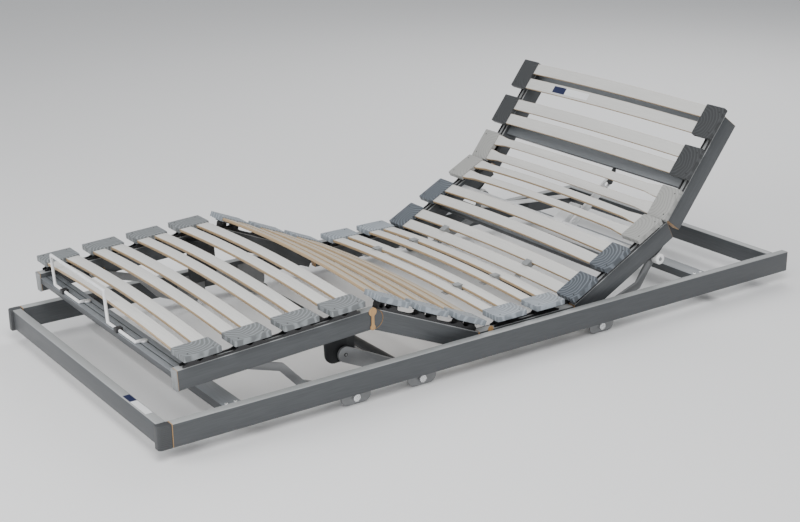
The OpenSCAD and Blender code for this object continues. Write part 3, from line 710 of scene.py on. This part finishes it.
def fastener_tree():
    """A domed head with a dark recess on every point, turned to the way that the point faces."""
    t = Tree("fastener_field")
    for name in ("Radius", "Dome", "Recess"):
        t.socket(name, "Float")
    t.socket("Head material", "Material")
    t.socket("Recess material", "Material")
    t.start()
    i = t.input
    proud = 0.06
    ball = t.node("GeometryNodeMeshUVSphere", {"Segments": 16, "Rings": 8, "Radius": i["Radius"]})["Mesh"]
    head = t.node("GeometryNodeTransform", {"Geometry": ball, "Scale": t.vector(1.0, 1.0, i["Dome"])})[0]
    head = t.node("GeometryNodeSetMaterial", {"Geometry": head, "Material": i["Head material"]})[0]
    height = t.math("ADD", t.math("MULTIPLY", i["Dome"], 2.0), proud)
    dot = t.node("GeometryNodeMeshCylinder", {
        "Vertices": 12, "Radius": t.math("MULTIPLY", i["Radius"], i["Recess"]),
        "Depth": t.math("MULTIPLY", i["Radius"], height)})["Mesh"]
    dot = t.node("GeometryNodeSetMaterial", {"Geometry": dot, "Material": i["Recess material"]})[0]
    both = t.node("GeometryNodeJoinGeometry")
    t.link(head, both[0].node.inputs[0])
    t.link(dot, both[0].node.inputs[0])
    facing = t.node("GeometryNodeInputNamedAttribute", {"Name": "facing"}, data_type="FLOAT_VECTOR")[0]
    turn = t.node("FunctionNodeAlignRotationToVector", {"Vector": facing}, axis="Z")[0]
    placed = t.node("GeometryNodeInstanceOnPoints", {
        "Points": i["Geometry"], "Instance": both[0], "Rotation": turn})[0]
    real = t.node("GeometryNodeRealizeInstances", {0: placed})[0]
    t.link(real, t.output)
    return t


def point_mesh(points):
    """A mesh of loose points, each with the way that it faces."""
    mesh = bpy.data.meshes.new("points")
    mesh.from_pydata([p for p, _ in points], [], [])
    facing = mesh.attributes.new("facing", "FLOAT_VECTOR", "POINT")
    for k, (_, way) in enumerate(points):
        facing.data[k].vector = way
    return mesh


# ---------- operators ----------


class FrameOperator(bpy.types.Operator):
    """Builds the fixed frame: side rails, cross rails, corner caps, tie boards and brackets."""

    bl_idname = "bed_base.frame"
    bl_label = "Fixed frame"

    def execute(self, context):
        c = setting("bed_colours")
        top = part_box("side_rail_near")[1].z
        rail = foil("foil_side_rail", "flat", top)
        for node in ("side_rail_near", "side_rail_far"):
            softened(node, rail, 0.002)
        for node in ("foot_cross_rail", "head_cross_rail"):
            softened(node, cross_foil(node, top), 0.0018)
        softened("tie_boards", board_foil("foil_tie_board"), 0.0015)
        corner = moulded("plastic_corner", c.moulded, ridges=70.0)
        softened("corner_caps", corner, 0.002)
        hanger = metal("steel_hanger", c.steel_dark, rough=0.45)
        softened("frame_hangers", hanger, 0.0006)
        bracket = metal("steel_bracket", c.steel_zinc, rough=0.38, metallic=0.35)
        softened("support_brackets", bracket, 0.0008)
        bolt = metal("steel_bolt", c.bolt, rough=0.25, metallic=0.7)
        softened("pivot_bolts", bolt, 0.0012, 3)
        return {"FINISHED"}


class RailsOperator(bpy.types.Operator):
    """Builds the rails, boards and end caps of the five sections."""

    bl_idname = "bed_base.rails"
    bl_label = "Section rails"

    def execute(self, context):
        for section in SECTIONS:
            nodes = rail_nodes(section)
            material = foil("foil_" + section, section, local_box(nodes[0], section)[1].z)
            for node in nodes:
                softened(node, material, 0.0016)
        for node in ("calf_foot_board", "back_cross_board", "head_cross_board"):
            section = node.split("_")[0]
            softened(node, board_foil("foil_" + node, section), 0.0012)
        end = moulded("plastic_end", setting("bed_colours").moulded_pale, "calf")
        softened("calf_end_caps", end, 0.0008)
        return {"FINISHED"}


class SlatsOperator(bpy.types.Operator):
    """Builds the arched slats of every section with one Geometry Nodes tree."""

    bl_idname = "bed_base.slats"
    bl_label = "Slats"

    def execute(self, context):
        c, s = setting("bed_colours"), setting("bed_slats")
        tree = slat_tree()
        for section in SECTIONS:
            node = section + "_slats"
            base = c.slat_thigh if section == "thigh" else c.slat
            low, high = local_box(node, section)
            values = {
                "Width": s.width, "Thickness": s.thickness, "Gap": s.gap, "Pitch": s.pitch, "Edge": s.edge,
                "Length": high.y - low.y, "Crown": high.z - low.z - s.thickness,
                "Base": low.z + s.thickness / 2,
                "Material": slat_foil("slat_foil_" + section, section, base)}
            parts = self.parts(section, low.x + s.width / 2, pair_count(low, high))
            for name, first, pairs, waist in parts:
                mesh = tree.run(bpy.data.meshes.new("empty"), {
                    **values, "Start": first, "Pairs": pairs, "Waist": waist}, name + "_work")
                mesh.transform(section_matrix(section))
                smooth(mesh, 50)
                piece = finish_piece("piece_" + name, mesh, frame["nodes"][node]["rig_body"])
                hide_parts(node)
        return {"FINISHED"}

    def parts(self, section, start, count):
        """Name, start, pairs and waist: the pair beside the joint of back and head is its own piece."""
        s = setting("bed_slats")
        name = section + "_slats"
        last = start + (count - 1) * s.pitch
        if section == "back":
            return (name, start, count - 1, 0.0), (name + "_waisted", last, 1, s.waist)
        if section == "head":
            return (name, start + s.pitch, count - 1, 0.0), (name + "_waisted", start, 1, s.waist)
        return ((name, start, count, 0.0),)


class CapsOperator(bpy.types.Operator):
    """Builds the slat caps, the rubber bodies under them and the firmness sliders."""

    bl_idname = "bed_base.caps"
    bl_label = "Caps and rubber bodies"

    def execute(self, context):
        c, s = setting("bed_colours"), setting("bed_slats")
        back_end = local_box("back_caps", "back")[1].x
        head_start = local_box("head_caps", "head")[0].x
        inside, beyond = 0.01, 1
        finishes = {
            "seat": cap_plastic("cap_seat", "seat", c.cap_blue, 1.7),
            "thigh": cap_plastic("cap_thigh", "thigh", c.cap_blue, 1.6),
            "calf": cap_plastic("cap_calf", "calf", c.cap_light, 1.9),
            "back": cap_plastic("cap_back", "back", c.cap, 2.4, c.cap_wide,
                                back_end - s.pitch + inside, back_end + beyond),
            "head": cap_plastic("cap_head", "head", c.cap_dark, 1.6, c.cap_wide,
                                head_start - beyond, head_start + s.pitch - inside),
        }
        rubber = moulded("rubber_body", c.rubber, rough=0.62)
        for section, material in finishes.items():
            softened(section + "_caps", material, 0.0018, 3)
            softened(section + "_mounts", rubber, 0.0006)
        pale = moulded("plastic_slider", c.moulded_pale, rough=0.42, ridges=120.0, direction="Y")
        carrier = moulded("plastic_carrier", c.black, rough=0.4)
        for section in finishes:
            self.carrier(section, carrier)
        for node in sorted(frame["nodes"]):
            if "slider" in node:
                softened(node, pale, 0.0008)
        return {"FINISHED"}

    def carrier(self, section, material):
        """The black strips on both rails that join the rubber bodies, raised at each of them."""
        s = setting("bed_slats")
        wall, lift_off = 0.0035, 0.0003
        low_height, rise = 0.0042, 0.0105
        # each pair of slats has two humps, this far from its middle
        hump_at, hump_half = 0.020, 0.013
        overhang, end_gap = 0.006, 0.012
        depth, proud = 0.0195, 0.0004
        low, high = local_box(section + "_mounts", section)
        ends = local_box(rail_nodes(section)[0], section)
        base = low.z + lift_off
        first = max(low.x - overhang, ends[0].x + end_gap)
        last = min(high.x + overhang, ends[1].x - end_gap)
        count = pair_count(low, high)
        centres = [(low.x + high.x) / 2 + (k - (count - 1) / 2) * s.pitch for k in range(count)]
        steps = 24 * count
        turn = section_matrix(section)
        far_in, far_out = high.y - depth, high.y + proud
        shape = bmesh.new()
        for side in (-1, 1):
            for inner, outer in ((far_in, far_in + wall), (far_out - wall, far_out)):
                rows = []
                for k in range(steps + 1):
                    x = first + (last - first) * k / steps
                    hump = sum(math.exp(-((abs(x - m) - hump_at) / hump_half) ** 2) for m in centres)
                    top = base + low_height + rise * min(1.0, hump)
                    rows.append([shape.verts.new(turn @ Vector((x, side * y, z)))
                                 for y, z in ((inner, base), (outer, base), (outer, top), (inner, top))])
                bar(shape, rows)
        bmesh.ops.recalc_face_normals(shape, faces=shape.faces)
        mesh = written(shape, "carrier_" + section)
        smooth(mesh, 40)
        body = frame["nodes"][section + "_mounts"]["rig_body"]
        finish_piece("carrier_" + section, mesh, body, material)


class GearOperator(bpy.types.Operator):
    """Builds the hinges, knee plates, stays, levers, rollers and the head strut."""

    bl_idname = "bed_base.gear"
    bl_label = "Hinges and lift gear"

    def execute(self, context):
        c = setting("bed_colours")
        dark = metal("steel_hinge", c.steel_dark, rough=0.42, metallic=0.2)
        zinc = metal("steel_lever", c.steel_zinc, rough=0.36, metallic=0.35, brushed=(0.1, 1, 0.1))
        tube = metal("steel_tube", c.steel_dark, rough=0.34, metallic=0.2, brushed=(1, 0.05, 1))
        wire = metal("coat_wire", c.wire, rough=0.3)
        for node in ("seat_hinges", "thigh_hinges", "knee_plates", "back_brackets", "head_brackets"):
            softened(node, dark, 0.0006)
        for node in ("foot_stay_near", "foot_stay_far", "foot_lift_arms", "back_lift_arms"):
            softened(node, zinc, 0.0009)
        for node in ("foot_lift_tube", "back_lift_tube"):
            softened(node, tube, 0.0005)
        softened("head_strut", wire, 0.0012)
        softened("strut_anchor", wire, 0.0008)
        self.joint_blocks()
        nylon = moulded("nylon_roller", c.nylon, rough=0.35)
        for node in ("back_roller_near", "back_roller_far"):
            softened(node, nylon, 0.0012, 3)
        return {"FINISHED"}

    def joint_blocks(self):
        """Waisted beech blocks that show on the rails' outer faces at the knee and beside the seat."""
        core = setting("bed_colours").core
        f = Finish("beech_block", "flat", 0.5)
        grain = f.noise((30.0, 30.0, 3.0), 7.0, 4.0)
        f.colour(f.mix(f.clean(grain, 0.3, 0.75), f.shade(core, 1.15), f.shade(core, 0.8)))
        f.bump(grain, 0.2, 0.0004)
        knee = Vector(JOINT["calf_fold"]["pos_m"])
        seat = Vector(JOINT["thigh_lift"]["pos_m"])
        clear, depth, rounding = 0.0003, 0.0022, 0.0008
        face = abs(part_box("calf_rail_near")[0].y) + clear
        for body, name, x, bottom, top, r_low, r_top, neck in (
            ("thigh", "knee_block", knee.x - 0.005, knee.z - 0.027, knee.z + 0.031, 0.0075, 0.011, 0.0042),
            ("base", "seat_block", seat.x + 0.036, seat.z - 0.020, seat.z + 0.009, 0.005, 0.0085, 0.0045),
        ):
            outline = waisted_outline(x, bottom, top, r_low, r_top, neck)
            for side, word in ((-1, "near"), (1, "far")):
                mesh = plate(name, outline, side * face, side * depth)
                result = bevelled(name + "_work", mesh, rounding, 2, 60)
                smooth(result, 40)
                finish_piece(name + "_" + word, result, body, f.mat)


class RetainerOperator(bpy.types.Operator):
    """Builds the wire mattress retainer and its clips."""

    bl_idname = "bed_base.retainer"
    bl_label = "Mattress retainer"

    def execute(self, context):
        c = setting("bed_colours")
        wire = metal("coat_retainer", c.wire, "calf", 0.3)
        mesh = written(merged("mattress_retainer"), "mattress_retainer_wire")
        smooth(mesh, 50)
        body = frame["nodes"]["mattress_retainer"]["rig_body"]
        piece = finish_piece("piece_mattress_retainer", mesh, body, wire)
        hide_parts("mattress_retainer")
        clip = moulded("plastic_clip", c.black, "calf", 0.4)
        softened("retainer_clips", clip, 0.0008)
        return {"FINISHED"}


class FastenersOperator(bpy.types.Operator):
    """Puts screw heads on the hinge plates and boards, bolts on the levers and dimples on the caps; the
    screw recesses and the dimples are black, as painted shade in the holes.
    """

    bl_idname = "bed_base.fasteners"
    bl_label = "Screws and dimples"

    def execute(self, context):
        c, z = setting("bed_colours"), setting("bed_fasteners")
        tree = fastener_tree()
        bright = metal("steel_screw", c.bolt, rough=0.3, metallic=0.7)
        # black plastic, also used as painted shade: the dark recesses of the screw heads and the dark
        # dimples in the caps
        black_and_recess_shade = moulded("plastic_recess", c.black, rough=0.6)
        for body, points in sorted(self.screws().items()):
            mesh = tree.run(point_mesh(points), {
                "Radius": z.screw, "Dome": 0.32, "Recess": 0.34, "Head material": bright,
                "Recess material": black_and_recess_shade}, "screws_work_" + body)
            smooth(mesh, 40)
            finish_piece("screws_" + body, mesh, body)
        mesh = tree.run(point_mesh(self.lever_bolts()), {
            "Radius": z.screw * 1.1, "Dome": 0.3, "Recess": 0.45, "Head material": black_and_recess_shade,
            "Recess material": bright}, "lever_bolts_work")
        smooth(mesh, 40)
        finish_piece("lever_bolts", mesh, "knee_lever")
        # the dimples are small black domes: painted shade where the caps are hollowed
        for body, points in sorted(self.dimples().items()):
            mesh = tree.run(point_mesh(points), {
                "Radius": z.dimple, "Dome": 0.2, "Recess": 0.7, "Head material": black_and_recess_shade,
                "Recess material": black_and_recess_shade}, "dimples_work_" + body)
            finish_piece("dimples_" + body, mesh, body)
        return {"FINISHED"}

    def screws(self):
        """The screws of each body: inside the seat hinges, and on the cross boards and tie boards."""
        groups = {"base": []}
        plate_x, plate_z = (0.022, 0.048), -0.009
        plate_end, plate_in = 0.009, 0.005
        seat_end = local_box("seat_hinges", "seat")[1].x
        face = max(v.co.y for v in frame["nodes"]["seat_hinges"].data.vertices) - plate_in
        for side in (-1, 1):
            for x in plate_x:
                for place in (x, seat_end - plate_end - x):
                    groups["base"].append(aimed("seat", (place, side * face, plate_z), (0, -side, 0)))
        board_in = 0.03
        for section in ("back", "head"):
            node = section + "_cross_board"
            low, high = local_box(node, section)
            points = groups.setdefault(frame["nodes"][node]["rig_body"], [])
            for side in (-1, 1):
                place = ((low.x + high.x) / 2, side * (high.y - board_in), high.z)
                points.append(aimed(section, place, (0, 0, 1)))
        tie_middle, tie_in, apart = 0.025, 0.02, 0.012
        low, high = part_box("tie_boards")
        for x in (low.x + tie_middle, high.x - tie_middle):
            for side in (-1, 1):
                for step in (-apart, apart):
                    place = (x + step, side * (high.y - tie_in), high.z)
                    groups["base"].append(aimed("flat", place, (0, 0, 1)))
        return groups

    def lever_bolts(self):
        """One bolt on the outer face of each knee lever, at its pin."""
        low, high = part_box("foot_lift_arms")
        pin_in, proud = 0.020, 0.0002
        return [((low.x + pin_in, side * (high.y + proud), high.z - pin_in), (0, side, 0))
                for side in (-1, 1)]

    def dimples(self):
        """The dimples of each body: two in every cap."""
        s = setting("bed_slats")
        groups = {}
        from_end, sunk = 0.012, 0.0006
        for section in SECTIONS:
            node = section + "_caps"
            low, high = local_box(node, section)
            count = pair_count(low, high)
            length = high.x - low.x - (count - 1) * s.pitch
            points = groups.setdefault(frame["nodes"][node]["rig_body"], [])
            for k in range(count):
                for side in (-1, 1):
                    for share in (0.16, 0.84):
                        x = low.x + k * s.pitch + length * share
                        place = (x, side * (high.y - from_end), high.z - sunk)
                        points.append(aimed(section, place, (0, 0, 1)))
        return groups


class LabelsOperator(bpy.types.Operator):
    """Puts a blank label on the foot cross rail and one on a head slat."""

    bl_idname = "bed_base.labels"
    bl_label = "Blank labels"

    def execute(self, context):
        s = setting("bed_slats")
        above, half_width = 0.0003, 0.0085
        low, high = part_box("foot_cross_rail")
        middle = (low.x + high.x) / 2
        self.sheet("label_foot_rail", [
            [(middle + side * half_width, y, high.z + above) for side in (-1, 1)]
            for y in (-0.37, -0.31, -0.25)], "base", label_paper("label_foot", -0.290, -0.2895))
        low, high = local_box("head_slats", "head")
        slat = high.x - 2 * s.width - s.gap
        crown = high.z - low.z - s.thickness
        turn = section_matrix("head")
        from_y, long, steps, above = 0.07, 0.16, 8, 0.0004
        rows = []
        for k in range(steps + 1):
            y = from_y + long * k / steps
            z = high.z - crown * (y / high.y) ** 2 + above
            rows.append([turn @ Vector((slat + x, y, z)) for x in (0.007, 0.028)])
        self.sheet("label_head_slat", rows, "head", label_paper("label_head", 0.174, 0.1745))
        return {"FINISHED"}

    def sheet(self, name, rows, body, material):
        """A thin sheet over rows of two points."""
        mesh = bpy.data.meshes.new(name)
        points = [p for row in rows for p in row]
        faces = [(2 * k, 2 * k + 1, 2 * k + 3, 2 * k + 2) for k in range(len(rows) - 1)]
        mesh.from_pydata(points, [], faces)
        work = linked(name + "_work", mesh)
        wall = work.modifiers.new("Paper", "SOLIDIFY")
        wall.thickness = 0.0003
        wall.offset = 0.0
        finish_piece(name, baked(work), body, material)


class StageOperator(bpy.types.Operator):
    """Adds the floor, the soft lights and the camera."""

    bl_idname = "bed_base.stage"
    bl_label = "Stage"

    def execute(self, context):
        self.floor()
        self.lights()
        self.camera()
        return {"FINISHED"}

    def floor(self):
        """A pale matt floor, a little under the brackets."""
        reach, drop = 30, 0.0006
        mesh = bpy.data.meshes.new("floor")
        corners = [(-reach, -reach, 0), (reach, -reach, 0), (reach, reach, 0), (-reach, reach, 0)]
        mesh.from_pydata(corners, [], [(0, 1, 2, 3)])
        floor = linked("floor", mesh)
        floor.location.z = -drop
        paint = bpy.data.materials.new("floor_paint")
        paint.use_nodes = True
        shader = paint.node_tree.nodes["Principled BSDF"]
        shader.inputs["Base Color"].default_value = (*setting("bed_stage").floor, 1)
        shader.inputs["Roughness"].default_value = 0.85
        mesh.materials.append(paint)

    def lights(self):
        """A cool studio world and three round area lights that look at the bed."""
        s = setting("bed_stage")
        world = bpy.data.worlds.new("studio")
        bpy.context.scene.world = world
        world.use_nodes = True
        back = world.node_tree.nodes["Background"]
        back.inputs["Color"].default_value = (0.95, 0.97, 1.0, 1)
        back.inputs["Strength"].default_value = 0.5
        aim = Vector((0, 0, 0.2))
        for name, place, size, power in (
            ("key", (-1.6, -2.6, 3.4), 2.6, s.key),
            ("fill", (2.8, 1.6, 3.0), 3.0, s.fill),
            ("front", (-3.6, 0.6, 2.2), 2.2, s.fill),
        ):
            data = bpy.data.lights.new(name, "AREA")
            data.shape = "DISK"
            data.size = size
            data.energy = power
            lamp = linked(name, data)
            lamp.location = place
            lamp.rotation_euler = (aim - Vector(place)).to_track_quat("-Z", "Y").to_euler()

    def camera(self):
        """The camera, from its azimuth, elevation and roll."""
        s = setting("bed_stage")
        a, e, r = s.azimuth, s.elevation, s.roll
        behind = Vector((math.sin(a) * math.cos(e), -math.cos(a) * math.cos(e), math.sin(e)))
        right = Vector((0, 0, 1)).cross(behind).normalized()
        up = behind.cross(right)
        side = right * math.cos(r) + up * math.sin(r)
        over = up * math.cos(r) - right * math.sin(r)
        data = bpy.data.cameras.new("camera")
        data.lens = s.lens
        data.sensor_width = 36.0
        data.clip_end = 100.0
        camera = linked("camera", data)
        turn = Matrix((side, over, behind)).transposed().to_4x4()
        camera.matrix_world = Matrix.Translation(Vector(s.eye)) @ turn
        bpy.context.scene.camera = camera


OPERATORS = (
    StageOperator, FrameOperator, RailsOperator, SlatsOperator, CapsOperator,
    GearOperator, RetainerOperator, FastenersOperator, LabelsOperator,
)


class BedBasePanel(bpy.types.Panel):
    """Lists the steps that build the bed base."""

    bl_idname = "VIEW3D_PT_bed_base"
    bl_label = "Bed base"
    bl_space_type = "VIEW_3D"
    bl_region_type = "UI"
    bl_category = "Bed base"

    def draw(self, context):
        for operator in OPERATORS:
            self.layout.operator(operator.bl_idname)
        for name, group in SETTINGS.items():
            box = self.layout.box()
            box.label(text=group.__name__)
            for key in group.__annotations__:
                box.prop(getattr(context.scene, name), key)


def register():
    """Adds the settings, the operators and the panel."""
    for group in SETTINGS.values():
        bpy.utils.register_class(group)
    for name, group in SETTINGS.items():
        setattr(bpy.types.Scene, name, bpy.props.PointerProperty(type=group))
    for operator in OPERATORS:
        bpy.utils.register_class(operator)
    bpy.utils.register_class(BedBasePanel)


def unregister():
    """Takes them out again."""
    bpy.utils.unregister_class(BedBasePanel)
    for operator in reversed(OPERATORS):
        bpy.utils.unregister_class(operator)
    for name in SETTINGS:
        delattr(bpy.types.Scene, name)
    for group in reversed(list(SETTINGS.values())):
        bpy.utils.unregister_class(group)


def main():
    """Runs every step."""
    register()
    for operator in OPERATORS:
        step = operator.bl_idname.split(".")[1]
        getattr(bpy.ops.bed_base, step)()


if __name__ == "__main__":
    main()
